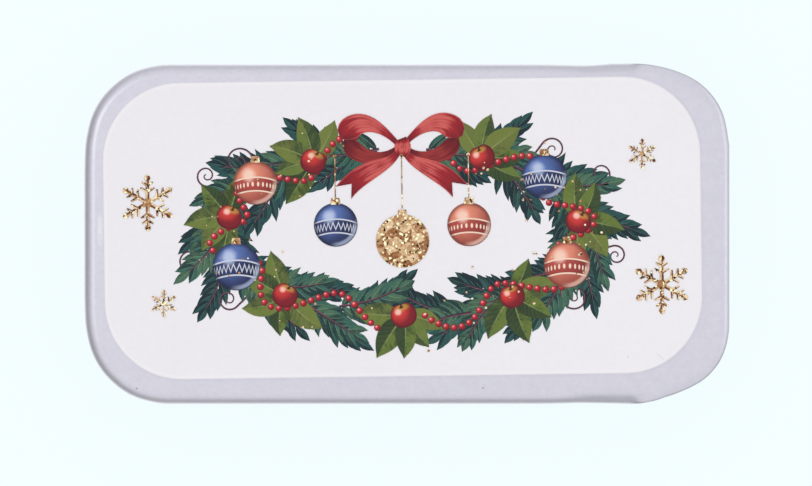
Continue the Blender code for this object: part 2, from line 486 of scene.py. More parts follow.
def renumber(parts, key):
    numbers = {part: number for number, part in enumerate(sorted(parts, key=key))}
    parts.sort(key=numbers.get)
    parts.index_update()


def put_in_order(bm):
    """Numbers a mesh by place, because extruding its rim leaves it in no fixed order."""
    renumber(bm.verts, lambda vert: vert.co.to_tuple())
    for parts in (bm.edges, bm.faces):
        renumber(parts, lambda part: sorted(vert.index for vert in part.verts))


def finish_pressing(bm, name, material, body, node, dulled):
    """Makes the drawn surface a sheet and puts it in the solid's place."""
    put_in_order(bm)
    bmesh.ops.recalc_face_normals(bm, faces=bm.faces)
    piece = mesh_piece(bm, name, material)
    piece.data.shade_smooth()
    thicken(piece, SHEET, 0.0, dulled)
    piece.modifiers.new("Flat faces stay flat", "WEIGHTED_NORMAL")
    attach(piece, body)
    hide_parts(node)


# %% [markdown]
# ## The lid
#
# The lid is rolled down and under the tray's rim along both long sides and round the left
# end.  Towards the right the roll opens into a lip that only droops.  One length describes
# both: how far the sheet runs on past the plate at each point.
#
# The press didn't leave the edge in one plain line.  Each rail is pinched and then flares
# before it ends, the sheet sags over its last stretch, and the lip's corners were trimmed
# in by hand, the front one more than the back one.

# %% How far the edge runs out of line
# Each pair is how far along the edge past the end of the rail, and how far out it runs, in mm.
BACK_EDGE = [
    (-16, 0), (-13, -0.05), (-10, -0.12), (-8.5, -0.11), (-7, 0), (-5.6, 0.11), (-4.4, 0.14),
    (-1.5, 0.14), (-0.3, 0.03), (1.3, -0.16), (2.9, -0.24), (5, -0.23), (6.9, -0.12),
    (8.8, -0.02), (12, 0.03), (14, -0.01), (16, -0.14), (17.6, -0.16), (18.85, -0.04),
]
FRONT_EDGE = [
    (-16, 0), (-13, -0.04), (-10, -0.118), (-8.5, -0.10), (-4, -0.03), (-2.6, -0.01),
    (-1.25, -0.04), (-0.8, -0.10), (0, -0.27), (1.25, -0.48), (2.5, -0.71), (3.8, -0.80),
    (5.7, -0.71), (7.5, -0.53), (9.4, -0.25), (11.3, -0.09), (13.2, 0.02), (16, 0.0),
    (18.85, -0.04),
]
# The same from where a closed corner starts at the end, round it to the side.
CLOSED_CORNERS = [
    (-3.5, 0), (-1.5, -0.04), (0, -0.10), (1.3, -0.155), (2.6, -0.18), (5.2, -0.08),
    (8, -0.01), (10.5, 0.01), (12.5, 0.05), (14.5, 0.05), (16.5, -0.01), (19.6, 0),
]
# Each pair is how far in from the edge, and how far the sheet has sagged there, in mm.
SAG = [(0, 0.26), (0.45, 0.38), (0.8, 0.38), (1.3, 0.25), (1.9, 0.11), (2.6, 0)]
SAG_DEEPEST = 0.38 * MM
# How far past the end of the rail the sag starts, is whole, starts to fade and is gone.
SAG_SPAN = [-13.5 * MM, -6.5 * MM, -3.0 * MM, 2.5 * MM]


def smooth_through(points, place):
    """The height of a smooth curve through (place, height) points, which are in mm."""
    place = min(max(place / MM, points[0][0]), points[-1][0])
    last = max(number for number, point in enumerate(points[:-1]) if point[0] <= place)

    def slope(number):
        before, after = points[max(number - 1, 0)], points[min(number + 1, len(points) - 1)]
        return (after[1] - before[1]) / (after[0] - before[0])

    (low, start), (high, end) = points[last : last + 2]
    share = (place - low) / (high - low)
    bend = share * (1 - share) * (high - low)
    curved = bend * ((1 - share) * slope(last) - share * slope(last + 1))
    return (start + (end - start) * eased(share) + curved) * MM


def past_the_rail(point, direction):
    """How far along the outline a point is past the end of the rail; below 0 on the rail."""
    if point.x < LIP_START_X:
        return point.x - LIP_START_X
    return LIP_CORNER_RADIUS * (math.pi / 2 - abs(math.atan2(direction.y, direction.x)))


def out_of_line(point, direction):
    """How far out the edge runs here, compared with the plain outline."""
    from_end = CLOSED_CORNER_RADIUS * abs(math.atan2(direction.y, -direction.x))
    if from_end == 0:
        from_end = abs(point.y) - (HALF_WIDTH - CLOSED_CORNER_RADIUS)
    side = BACK_EDGE if point.y > 0 else FRONT_EDGE
    along_side = smooth_through(side, past_the_rail(point, direction))
    return along_side + smooth_through(CLOSED_CORNERS, from_end)


def sag(point, direction, inset, turned):
    """How far the sheet has sagged near the end of a rail, which its lower half doesn't follow."""
    past = past_the_rail(point, direction)
    starts, whole, fades, gone = SAG_SPAN
    along = eased((past - starts) / (whole - starts)) * eased((gone - past) / (gone - fades))
    return along * eased(2 - turned / (math.pi / 2)) * smooth_through(SAG, inset)


# %% The lid's rolled edge and open lip
ROLL_STEPS = 24
SHOULDER_STEPS = 6
TAPER_CUTS = 16
PINCH_CUTS = 12
END_CUTS = 40
LIP_OUTLINE = (HALF_LENGTH, HALF_WIDTH, LIP_CORNER_RADIUS, CLOSED_CORNER_RADIUS)
ROLL_RUN = math.pi * ROLL_MID_RADIUS + TUCK_LENGTH


def run_past_plate(point, direction):
    """How far the sheet runs on past the flat plate at this point of the outline."""
    if point.x >= LIP_START_X:
        turned = abs(math.atan2(direction.y, direction.x))
        droop = LIP_DROOP + (CORNER_DROOP - LIP_DROOP) * eased(turned / DROOP_FADES_BY)
        return droop * ROLL_MID_RADIUS
    lip_run = CORNER_DROOP * ROLL_MID_RADIUS
    return lip_run + (ROLL_RUN - lip_run) * eased((LIP_START_X - point.x) / RAIL_TAPER)


def on_the_roll(point, step):
    """Where the press takes a point of the outline: over the shoulder, then round the roll."""
    direction = outward(point, *LIP_OUTLINE)
    whole_run = run_past_plate(point, direction)
    reach = min(whole_run / ROLL_MID_RADIUS, math.pi / 2)
    arc_share = math.pi * ROLL_MID_RADIUS / ROLL_RUN
    step -= SHOULDER_STEPS
    run = whole_run * (arc_share * max(step, 0) / ROLL_STEPS if step <= ROLL_STEPS else 1)
    turned = min(run / ROLL_MID_RADIUS, math.pi)
    tucked = run - turned * ROLL_MID_RADIUS
    inset = ROLL_RADIUS * math.sin(reach) - ROLL_MID_RADIUS * math.sin(turned) + tucked
    if step < 0:
        inset += (SAG[-1][0] * MM - inset) * -step / SHOULDER_STEPS
    sagged = sag(point, direction, inset, turned)
    place = point - direction * (inset - out_of_line(point, direction))
    return Vector((place.x, place.y, ROLL_AXIS_Z + ROLL_MID_RADIUS * math.cos(turned) - sagged))


def sag_shade_share(inset):
    """How much painted shade the sag gets: most in a line 1.4 mm in, from 0.7 to 2.2 mm."""
    share = (inset / MM - 0.7) / 1.5
    return eased(share / 0.45 if share < 0.45 else (1 - share) / 0.55)


def mark_bare_edge_and_shade(bm, remembered):
    """Writes where the rim is darkened, most in front: its bare cut edge with painted shade, then
    painted shade at the sag and just inside the rim.
    """
    bare_and_shaded = bm.verts.layers.float.new("worn_coat")
    rim = {vert[remembered].to_tuple(6): vert.co for vert in bm.verts if vert.is_boundary}
    for vert in bm.verts:
        point = vert[remembered]
        in_front = point.y < 0
        direction = outward(point, *LIP_OUTLINE)
        sideways = min(abs(direction.y) * 2, 1)
        # The dark rim is partly the bare cut edge and partly painted shade; the sag and the band
        # inside the rim get painted shade only.
        rim_darkening = 0.20 + sideways * (0.46 if in_front else 0.32)
        from_rim = (vert.co - rim[point.to_tuple(6)]).length / MM
        inset = (vert.co.xy - point.xy).length
        sagged = sag(point, direction, inset, 0) / SAG_DEEPEST
        shade_at_sag = sagged * sag_shade_share(inset) * (0.35 if in_front else 0.04)
        shade_near_rim = (0.04 + 0.08 * sideways) * eased(1.3 - from_rim / 1.4)
        vert[bare_and_shaded] = max(rim_darkening * eased(1.25 - from_rim / (0.5 * rim_darkening)), shade_at_sag, shade_near_rim)


def make_lid():
    bm = rounded_plate(*LIP_OUTLINE)
    taper = [LIP_START_X - RAIL_TAPER * cut / TAPER_CUTS for cut in range(1, TAPER_CUTS + 1)]
    pinch = [taper[-1] - PINCH_LENGTH * cut / PINCH_CUTS for cut in range(1, PINCH_CUTS + 1)]
    for x in taper + pinch:
        geometry = bm.verts[:] + bm.edges[:] + bm.faces[:]
        bmesh.ops.bisect_plane(bm, geom=geometry, plane_co=(x, 0, 0), plane_no=(1, 0, 0))
    near_end = 0.001 * MM - HALF_LENGTH
    end = [edge for edge in bm.edges if max(vert.co.x for vert in edge.verts) < near_end]
    bmesh.ops.subdivide_edges(bm, edges=end, cuts=END_CUTS)
    remembered = draw_rim(bm, on_the_roll, SHOULDER_STEPS + ROLL_STEPS + 1)
    mark_bare_edge_and_shade(bm, remembered)
    finish_pressing(
        bm, "lid_pressing", lid_finish, "lid", "sliding_lid", dulled=SHEET / 3
    )


make_lid()

# %% [markdown]
# ## The tray
#
# The tray is drawn from one sheet: a raised panel that stiffens the bottom, a foot, a
# straight wall, and a rim curled outwards into a hollow bead.  The same helper follows that
# section round the outline.

# %% The tray's section, drawn round its outline
FOOT_RADIUS = 1.8 * MM
FOOT_WIDTH = 2.0 * MM
PANEL_SLOPE = 0.9 * MM
PANEL_RISE = 0.6 * MM
PANEL_STEPS = 8
FOOT_STEPS = 10
CURL_STEPS = 28
WALL_OUTLINE = tuple(size - WALL_INSET for size in LIP_OUTLINE)


def arc(middle, height, radius, start, sweep, steps):
    """(outward, height) pairs at even steps round an arc."""
    turns = [start + sweep * step / steps for step in range(steps + 1)]
    return [(middle + radius * math.cos(turn), height + radius * math.sin(turn)) for turn in turns]


def tray_section():
    """(outward from the wall, height) pairs, from the raised panel to the end of the curl."""
    foot_mid = FOOT_RADIUS - SHEET / 2
    panel_edge = foot_mid + FOOT_WIDTH + PANEL_SLOPE
    shares = [step / PANEL_STEPS for step in range(PANEL_STEPS + 1)]
    rises = [SHEET / 2 + PANEL_RISE * (1 - eased(share)) for share in shares]
    panel = [(PANEL_SLOPE * share - panel_edge, rise) for share, rise in zip(shares, rises)]
    foot = arc(-foot_mid, FOOT_RADIUS, foot_mid, -math.pi / 2, math.pi / 2, FOOT_STEPS)
    curl = arc(BEAD_MID_RADIUS, BEAD_AXIS_Z, BEAD_MID_RADIUS, math.pi, -CURL_SWEEP, CURL_STEPS)
    return panel + foot + curl


def make_tray():
    section = tray_section()

    def on_the_section(point, step):
        out, height = section[step]
        place = point + outward(point, *WALL_OUTLINE) * out
        return Vector((place.x, place.y, height))

    bm = rounded_plate(*WALL_OUTLINE)
    draw_rim(bm, on_the_section, len(section) - 1)
    finish_pressing(
        bm, "tray_pressing", tray_finish, "base", "base", dulled=SHEET / 5
    )


make_tray()

# %% [markdown]
# ## The label
#
# The label is a die-cut sheet of satin vinyl, stuck on by hand, so it sits a little to the
# left and turned by less than a degree.  A rounded plate gets a thickness and a soft edge,
# and one matrix puts it, and all that is printed on it, where it was stuck.  A speck and a
# faint scratch lie near its lower right corner.  Its colour also holds a painted highlight
# just inside its edge, and painted shade on its dull cut edge.

# %% The label sheet
LABEL_THICKNESS = 0.14 * MM
LABEL_PLACE = Matrix.Translation((*LABEL_MIDDLE, PLATE_TOP + 0.15 * MM))
LABEL_PLACE @= Matrix.Rotation(LABEL_TURN, 4, "Z")


def lay_on_lid(bm, name, material):
    """Puts a flat piece where the label was stuck, to ride on the lid."""
    bmesh.ops.transform(bm, matrix=LABEL_PLACE, verts=bm.verts)
    piece = mesh_piece(bm, name, material)
    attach(piece, "lid")
    return piece


def satin_finish(name):
    """The surface that the label and its print share: satin, with a fine tooth."""
    finish = Finish(name, {"Specular IOR Level": 0.22})
    tooth = finish.waver(6000.0)
    finish.feed("Roughness", 0.44 + tooth * 0.10 + finish.waver(240.0) * 0.06)
    finish.bump(tooth, 0.10, 0.01 * MM)
    return finish


def label_finish():
    finish = satin_finish("satin_vinyl")
    clouds = finish.waver(110.0, detail=3.0)
    mottle = finish.waver(1100.0, detail=3.0, roughness=0.65)
    outside, along, _ = label_edge(finish)
    tone = 0.28 + clouds * 0.45 + mottle * 0.9 + along.ease(-10 * MM, 30 * MM) * 0.2
    sheet = tone.blend((0.805, 0.787, 0.820), (0.857, 0.843, 0.876))
    # Painted highlight: a paler band just inside the label's edge, except towards its right end.
    rim = outside.ease(-0.64 * MM, -0.42 * MM) * along.ease(50 * MM, 20 * MM)
    sheet = (rim * 0.4).blend(sheet, (0.88, 0.86, 0.89))
    # The outermost edge is darker: a dull cut edge, with painted shade on it.
    cut_edge = outside.ease(-0.26 * MM, -0.10 * MM)
    sheet = (cut_edge * 0.3).blend(sheet, (0.66, 0.65, 0.70))
    speck = spot(finish, 32.5, -18.0, 0.26, core=0.16)
    sheet = (speck * 0.5).blend(sheet, (0.62, 0.56, 0.50))
    x, y, _ = finish.places.parts()
    scratch = abs(x + y - 19.3 * MM).ease(0.16 * MM, 0.05 * MM)
    scratch *= abs(x - y - 55.3 * MM).ease(1.1 * MM, 0.8 * MM)
    return finish.coloured((scratch * 0.35).blend(sheet, (0.52, 0.51, 0.56)))


def make_label():
    radius = LABEL_CORNER_RADIUS
    bm = rounded_plate(LABEL_LENGTH / 2, LABEL_WIDTH / 2, radius, radius)
    label = lay_on_lid(bm, "label_sheet", label_finish())
    thicken(label, LABEL_THICKNESS, -1.0, LABEL_THICKNESS / 3)
    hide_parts("label")


make_label()

# %% [markdown]
# ## The print, and how it is laid
#
# The label carries a common winter pattern: a wreath of bay with apples, a string of beads,
# a bow, and baubles that hang in it.  Noise would blur a print's crisp edges, so each shape
# is a flat mesh, and nodes paint only what is inside it.  Each kind of shape is a film a
# hundredth of a millimetre above the last.  A film has 36 levels, because two shapes that
# cross in one plane would shade each other black, and its shapes are drawn from the lowest
# level up.  Each carries its own flat map, along and across, and a tone.

# %% Films of ink
FILM = 0.01 * MM
LEVELS = 36
hand = random.Random(11)


class Ink:
    """One film of printed shapes, which all share a finish."""

    def __init__(self, level):
        self.bm = bmesh.new()
        self.map = self.bm.loops.layers.uv.new("shape")
        self.tone = self.bm.verts.layers.float.new("tone")
        self.film = level * FILM
        self.lie(0)

    def lie(self, place):
        """Picks the level inside the film on which the next shapes lie."""
        self.place = place
        self.height = self.film + place % LEVELS * FILM / LEVELS

    def set_down(self, verts, tone):
        for vert in verts:
            vert.co.z = self.height
            vert[self.tone] = tone

    def strip(self, path, half_width, steps, rows=1, tone=0.5, notch=0.0):
        """A strip along path(0..1), that is half_width(0..1) wide on each side."""
        counts = {"x_segments": steps, "y_segments": rows}
        verts = bmesh.ops.create_grid(self.bm, size=1, calc_uvs=True, **counts)["verts"]
        for vert in verts:
            along = (vert.co.x + 1) / 2
            along *= 1 - notch * (1 - abs(vert.co.y))
            ahead = path(along + 0.001) - path(along - 0.001)
            side = Vector((-ahead.y, ahead.x)).normalized()
            vert.co.xy = path(along) + side * (vert.co.y * half_width(along))
        self.set_down(verts, tone)

    def disc(self, middle, radius, segments, tone=0.5):
        """A round spot, with a map whose middle is at (0.5, 0.5)."""
        place = {"radius": radius, "matrix": Matrix.Translation((middle.x, middle.y, 0))}
        circle = bmesh.ops.create_circle(self.bm, cap_ends=True, segments=segments, **place)
        for face in {face for vert in circle["verts"] for face in vert.link_faces}:
            for loop in face.loops:
                away = (loop.vert.co.xy - middle) / (2 * radius)
                loop[self.map].uv = away + Vector((0.5, 0.5))
        self.set_down(circle["verts"], tone)
        return circle["verts"]

    def print_on_label(self, name, material):
        """Adds a second flat map over the whole film, and puts the film on the label."""
        baked = self.bm.loops.layers.uv.new("OFBake")
        across, up, _ = zip(*(vert.co for vert in self.bm.verts))
        low_x, low_y = min(across), min(up)
        wide, high = max(across) - low_x, max(up) - low_y
        for loop in (loop for face in self.bm.faces for loop in face.loops):
            x, y, _ = loop.vert.co
            loop[baked].uv = ((x - low_x) / wide * 0.98 + 0.01, (y - low_y) / high * 0.98 + 0.01)
        lay_on_lid(self.bm, name, material)


def bent(start, heading, length, bend=0.0):
    """A path from start that sets out along heading and turns by bend on its way."""
    bend = bend or 0.0001

    def path(share):
        turned = heading + bend * share
        x = (math.sin(turned) - math.sin(heading)) * length / bend
        y = (math.cos(heading) - math.cos(turned)) * length / bend
        return start + Vector((x, y))

    return path


def tapered(start, end, unit=MM):
    """A half width that goes evenly from start to end."""
    return lambda share: (start + (end - start) * share) * unit


def heading_at(path, share, step=0.001):
    """Which way a path runs at one of its points."""
    ahead = path(share + step) - path(share - step)
    return math.atan2(ahead.y, ahead.x)


# %% An ink, from a shape's own map


def along_and_across(finish):
    """How far along a shape a point lies, and how far across, both from 0 to 1."""
    return finish.node("ShaderNodeUVMap", {"uv_map": "shape"}).parts()[:2]


def new_ink(name, scale, detail=4.0, roughness=0.6):
    """A satin ink, along and across its shape, and a wash that clouds it."""
    ink = satin_finish(name)
    return ink, *along_and_across(ink), ink.waver(scale, detail, roughness)


def joined(ink, *parts):
    """The vector of these X, Y and Z."""
    return ink.node("ShaderNodeCombineXYZ", {}, dict(enumerate(parts)))


def scaled(colour, share):
    return [channel * share for channel in colour]


# %% [markdown]
# ## Bay sprigs
#
# Each sprig is a thin stalk with pairs of narrow leaves, which leave it at a wide angle
# near its foot and close in towards its tip.  A leaf is painted as with a brush: one half
# lighter, a pale midrib, slanting veins and a dark rim.  The sprigs behind are a deep blue
# green, and those in front are fresher.

# %% The wreath's line and its sprigs
WREATH_MIDDLE = Vector((0.0, -0.6)) * MM
WREATH_REACH = Vector((26.0, 12.2)) * MM
BAY_LENGTH = 4.2 * MM
BAY_HALF_WIDTH = 0.60 * MM
SPRIG_LENGTH = 9.5 * MM
SPRIG_TURNS = 4
PAIRS_PER_SPRIG = 9
SPRIGS_SPAN = 152  # in degrees of turn on the wreath


def on_wreath(side, turn, out=0.0):
    """A point of the wreath: turn is 0 at the bow and pi at the bottom, side is 1 or -1."""
    reach = WREATH_REACH + Vector((out, out))
    return WREATH_MIDDLE + Vector((side * reach.x * math.sin(turn), reach.y * math.cos(turn)))


def from_the_middle(point):
    """The heading from the wreath's middle out to a point."""
    return math.atan2(*(point - WREATH_MIDDLE).yx)


def towards(heading):
    return Vector((math.cos(heading), math.sin(heading)))


def bay_width(share):
    body = math.sin(math.pi * min(share, 1.0) ** 0.85) ** 0.85
    return BAY_HALF_WIDTH * (0.08 + 0.92 * body) * (1 - share ** 9)


def sprig(leaves, stalks, first_level, start, heading, length, tone):
    """A stalk with pairs of leaves and one at its tip, each pair on the next level."""
    stalks.lie(first_level)
    stalk = bent(start, heading, length, hand.uniform(-0.5, 0.5))
    stalks.strip(stalk, tapered(0.19, 0.08), 5, tone=hand.random())
    for pair in range(PAIRS_PER_SPRIG):
        share = 0.04 + 0.96 * pair / (PAIRS_PER_SPRIG - 1)
        leaves.lie(first_level + pair)
        for side in (-1, 1) if pair < PAIRS_PER_SPRIG - 1 else (0,):
            splay = side * (1.0 - 0.45 * share + hand.uniform(-0.16, 0.16))
            reach = BAY_LENGTH * (1.0 - 0.30 * share) * hand.uniform(0.80, 1.08)
            bend = -side * hand.uniform(0.15, 0.6)
            line = bent(stalk(share), heading_at(stalk, share) + splay, reach, bend)
            shade = min(max(tone + hand.uniform(-0.35, 0.35), 0), 1)
            leaves.strip(line, bay_width, 8, rows=2, tone=shade)


# %% Painting a leaf


def leaf_finish(name, shaded, lit, warm, rib, rim, veins=7, vein_strength=0.3):
    ink, along, across, wash = new_ink(name, 420.0, roughness=0.65)
    tone = ink.attribute("tone")
    from_rib = abs(across - 0.5) * 2
    slant = along * veins - from_rib * 1.5
    brushed = joined(ink, slant * 1.7, across * 2.0, tone * 40)
    stroke = ink.waver(1.0, detail=3.0, roughness=0.7, places=brushed)
    half = (across + wash * 0.25 + stroke * 0.35).ease(0.42, 0.58)
    warmth = (tone + wash * 1.2 + stroke).ease(0.45, 1.0) * 0.75
    body = warmth.blend(half.blend(shaded, lit), warm)
    shadow = (tone * 0.5 + wash * 1.6 + stroke * 0.8 + along * 0.5).ease(0.45, 0.0)
    body = (shadow * 0.85).blend(body, scaled(shaded, 0.6))
    vein = (abs(slant.sawtooth() - 0.5) * 2).ease(0.80, 1.0) * (1 - along * 0.6)
    body = (vein * vein_strength).blend(body, rib)
    midrib = ((0.09 - from_rib) * 13 * (1 - along * 0.7)).ease(0.0, 1.0) * 0.8
    edge = (from_rib + wash * 0.4).ease(0.92, 1.2) * 0.8
    return ink.coloured(edge.blend(midrib.blend(body, rib), rim))


def twig_finish():
    ink, _, across, wash = new_ink("plum_twig_ink", 700.0, 3.0, 0.5)
    lit = (across + wash * 0.5).ease(0.35, 0.8)
    return ink.coloured(lit.blend((0.045, 0.012, 0.032), (0.17, 0.075, 0.10)))


# %% Printing the sprigs and the tendrils
# Each is (side, turn on the wreath in degrees, which way it curls, how wide in mm).
TENDRILS = [
    (-1, 46, 1, 2.0), (-1, 66, -1, 1.6), (-1, 98, 1, 1.7), (-1, 128, -1, 1.6),
    (1, 42, -1, 1.8), (1, 68, 1, 1.7), (1, 98, -1, 1.5), (1, 130, 1, 1.9),
]
# The darker half of a leaf, the lighter half, the warmer leaves, the ribs and the rim.
DEEP_GREENS = [
    (0.004, 0.020, 0.030), (0.014, 0.066, 0.068), (0.034, 0.105, 0.085),
    (0.12, 0.22, 0.19), (0.003, 0.011, 0.016),
]
FRESH_GREENS = [
    (0.006, 0.032, 0.035), (0.026, 0.110, 0.088), (0.075, 0.155, 0.085),
    (0.26, 0.38, 0.26), (0.005, 0.018, 0.018),
]


def lay_sprigs(leaves, stalks, tone, count, first_turn, splays, shortest):
    """Sprigs down both sides of the wreath, those of the lowest levels first."""

    def first_level(numbered):
        return (sum(numbered) + 1) % SPRIG_TURNS * PAIRS_PER_SPRIG

    sprigs = [(number, side) for number in range(count) for side in (-1, 1)]
    for number, side in sorted(sprigs, key=first_level):
        turn = math.radians(first_turn + SPRIGS_SPAN * number / (count - 1) + hand.uniform(-3, 3))
        heading = heading_at(lambda place: on_wreath(side, place), turn, step=0.01)
        heading += side * splays[number % 2] + hand.uniform(-0.14, 0.14)
        start = on_wreath(side, turn, out=hand.uniform(-0.7, 0.7) * MM)
        reach = SPRIG_LENGTH * hand.uniform(shortest, 1.0)
        sprig(leaves, stalks, first_level((number, side)), start, heading, reach, tone)


def tendril(stalks, start, heading, curl, reach):
    """A thin stalk that winds into a snail's curl to its left (1) or its right (-1)."""
    across = heading + curl * math.pi / 2
    middle = start + towards(across) * reach
    straight = 0.2

    def path(share):
        if share < straight:
            return start + towards(heading) * (share / straight - 1) * 3 * MM
        share = (share - straight) / (1 - straight)
        angle = across + math.pi + curl * share * 2.9 * math.pi
        return middle + towards(angle) * reach * (1 - 0.9 * share)

    stalks.strip(path, tapered(0.15, 0.08), 50)


def lay_tendrils(stalks):
    for number, (side, turn, curl, reach) in enumerate(TENDRILS):
        stalks.lie(28 + number % 8)
        start = on_wreath(side, math.radians(turn), out=5.2 * MM)
        tendril(stalks, start, from_the_middle(start) - curl * 0.35, curl, reach * MM)


def print_sprigs():
    behind, stalks_behind, in_front, stalks_in_front = [Ink(level) for level in (1, 2, 3, 4)]
    wide = {"count": 13, "first_turn": 12, "splays": (-0.54, 0.60), "shortest": 0.72}
    lay_sprigs(behind, stalks_behind, 0.35, **wide)
    narrow = {"count": 11, "first_turn": 8, "splays": (-0.20, 0.24), "shortest": 0.75}
    lay_sprigs(in_front, stalks_in_front, 0.6, **narrow)
    lay_tendrils(stalks_behind)
    twig_ink = twig_finish()
    behind.print_on_label("bay_leaves_behind", leaf_finish("bay_leaf_ink_behind", *DEEP_GREENS))
    stalks_behind.print_on_label("bay_stalks_behind", twig_ink)
    fresh = leaf_finish("bay_leaf_ink_in_front", *FRESH_GREENS)
    in_front.print_on_label("bay_leaves_in_front", fresh)
    stalks_in_front.print_on_label("bay_stalks_in_front", twig_ink)


print_sprigs()

# %% [markdown]
# ## Broad leaves
#
# Fans of broad leaves lie over the sprigs, each the bed of an apple.  They are drawn as the
# bay leaves are, only wider, with more veins and in olive green.

# %% The broad leaves
# Each fan is (side, turn on the wreath in degrees).
FANS = [(-1, 30), (1, 27), (-1, 78), (1, 84), (-1, 138), (1, 142), (1, 180)]
BROAD_LEAF_WIDTH = 0.25
OLIVES = [
    (0.034, 0.062, 0.022), (0.118, 0.170, 0.034), (0.168, 0.198, 0.045),
    (0.27, 0.32, 0.12), (0.014, 0.028, 0.014),
]


def broad_leaf(ink, foot, heading, length):
    def half_width(share):
        body = math.sin(math.pi * min(share, 1.0) ** 0.74) ** 0.8
        return length * (0.02 + BROAD_LEAF_WIDTH * body) * (1.0 - share ** 10)

    ink.lie(ink.place + 1)
    line = bent(foot, heading, length, hand.uniform(-0.6, 0.6))
    ink.strip(line, half_width, 14, rows=2, tone=hand.random())


def print_broad_leaves():
    ink = Ink(5)
    for side, turn in FANS:
        middle = on_wreath(side, math.radians(turn))
        leans = (-1.6, 1.6, -0.8, 0.85, 0.0) if turn < 180 else (-1.5, 1.5, -0.7, 0.7, 0.0)
        for lean in leans:
            heading = from_the_middle(middle) + lean + hand.uniform(-0.15, 0.15)
            foot = middle + towards(heading) * 0.7 * MM
            broad_leaf(ink, foot, heading, hand.uniform(5.3, 6.8) * MM)
    olive = leaf_finish("broad_leaf_ink", *OLIVES, veins=9, vein_strength=0.16)
    ink.print_on_label("broad_leaves", olive)


print_broad_leaves()

# %% [markdown]
# ## A string of beads, and apples
#
# A string of red glass beads winds through the wreath, and an apple sits in each fan.  Both
# are round spots whose own map puts a painted highlight up on the left and a dark rim
# round it.  An apple is pushed in at the top, where its stalk stands, and at the bottom.

# %% The beads and the apples
GLASS_BEAD_RADIUS = 0.50 * MM
BEAD_SPACING = 1.16 * MM
BEAD_WAVES = 9
BEAD_WAVE_HEIGHT = 2.5 * MM


def ball_map(along, across):
    """x and y on a round spot, each from -1 to 1, and the distance from its middle."""
    x, y = along * 2 - 1, across * 2 - 1
    return x, y, distance(x, y)


def painted_ball(name, deep, bright, glint, dimple=False):
    """The painted finish of a bead, or of an apple where there is a dimple."""
    ink, along, across, wash = new_ink(name, 420.0 if dimple else 900.0, 3.0, 0.5)
    x, y, from_middle = ball_map(along, across)
    from_light = distance(x + 0.32, y - 0.34)
    body = (from_light + wash * 0.5).ease(1.05, 0.3).blend(deep, bright)
    if dimple:
        from_dimple = distance(x - 0.04, (y - 0.62) * 1.9)
        blush = (from_dimple + wash * 0.5).ease(0.75, 0.25) * 0.6
        body = blush.blend(body, (0.50, 0.36, 0.06))
        body = (from_dimple + wash * 0.2).ease(0.26, 0.06).blend(body, (0.10, 0.025, 0.012))
        stalk = abs(x - y * 0.22 + 0.10).ease(0.10, 0.05) * y.ease(0.50, 0.58)
        body = stalk.blend(body, (0.045, 0.018, 0.018))
    rim = (from_middle + wash * 0.1).ease(0.74, 1.0) * 0.8
    body = rim.blend(body, (0.085, 0.006, 0.016))
    lit = (from_light + wash * 0.3).ease(0.34, 0.10)
    return ink.coloured(lit.blend(body, glint))


def apple(ink, middle, radius):
    """A round spot with a dent at the top and a slight one at the bottom."""
    verts = ink.disc(middle, radius, 40)
    for vert in verts:
        away = vert.co.xy - middle
        angle = math.degrees(math.atan2(away.y, away.x))
        top = math.exp(-(((angle - 88) / 20) ** 2))
        bottom = math.exp(-(((angle + 90) / 26) ** 2))
        vert.co.xy = middle + away * (1 - 0.17 * top - 0.06 * bottom)
    turn = Matrix.Rotation(hand.uniform(-0.5, 0.5), 3, "Z")
    bmesh.ops.rotate(ink.bm, verts=verts, cent=(middle.x, middle.y, 0), matrix=turn)


def string_beads(ink, side):
    """Beads at even steps along a wave that runs down one side of the wreath."""
    turn = 0.24
    last = None
    while turn < math.pi - 0.10:
        wave = BEAD_WAVE_HEIGHT * math.sin(turn * BEAD_WAVES + side)
        place = on_wreath(side, turn, out=wave)
        if last is None or (place - last).length >= BEAD_SPACING:
            ink.lie(ink.place + 1)
            ink.disc(place, GLASS_BEAD_RADIUS * hand.uniform(0.95, 1.05), 16)
            last = place
        turn += 0.002


def print_beads_and_apples():
    beads = Ink(6)
    string_beads(beads, -1)
    string_beads(beads, 1)
    reds = (0.25, 0.010, 0.022), (0.63, 0.038, 0.055), (0.88, 0.42, 0.42)
    beads.print_on_label("string_of_beads", painted_ball("red_glass_bead_ink", *reds))
    apples = Ink(7)
    for number, (side, turn) in enumerate(FANS):
        apples.lie(6 + number)
        apple(apples, on_wreath(side, math.radians(turn)), hand.uniform(1.75, 2.0) * MM)
    reds = (0.20, 0.010, 0.018), (0.58, 0.040, 0.036), (0.90, 0.50, 0.42)
    apples.print_on_label("apples", painted_ball("apple_ink", *reds, dimple=True))


print_beads_and_apples()

# %% [markdown]
# ## Baubles
#
# Four baubles are tucked into the wreath and three hang in it.  A painted one is a round
# spot, lit from the upper left, with a dark rim, a trace of light on its far side, and a
# band of zigzag or dots.  The band bends as a circle of latitude does, so the flat spot
# looks round.

# %% The painted baubles
# The dark side, the middle and the light side of each ball, its band, and the line on it.
BAUBLE_COLOURS = {
    "blue": [
        (0.020, 0.028, 0.095), (0.100, 0.170, 0.440), (0.52, 0.60, 0.80),
        (0.022, 0.032, 0.110), (0.62, 0.64, 0.72),
    ],
    "coral": [
        (0.34, 0.075, 0.055), (0.78, 0.27, 0.18), (0.92, 0.66, 0.54),
        (0.42, 0.045, 0.045), (0.88, 0.70, 0.56),
    ],
}
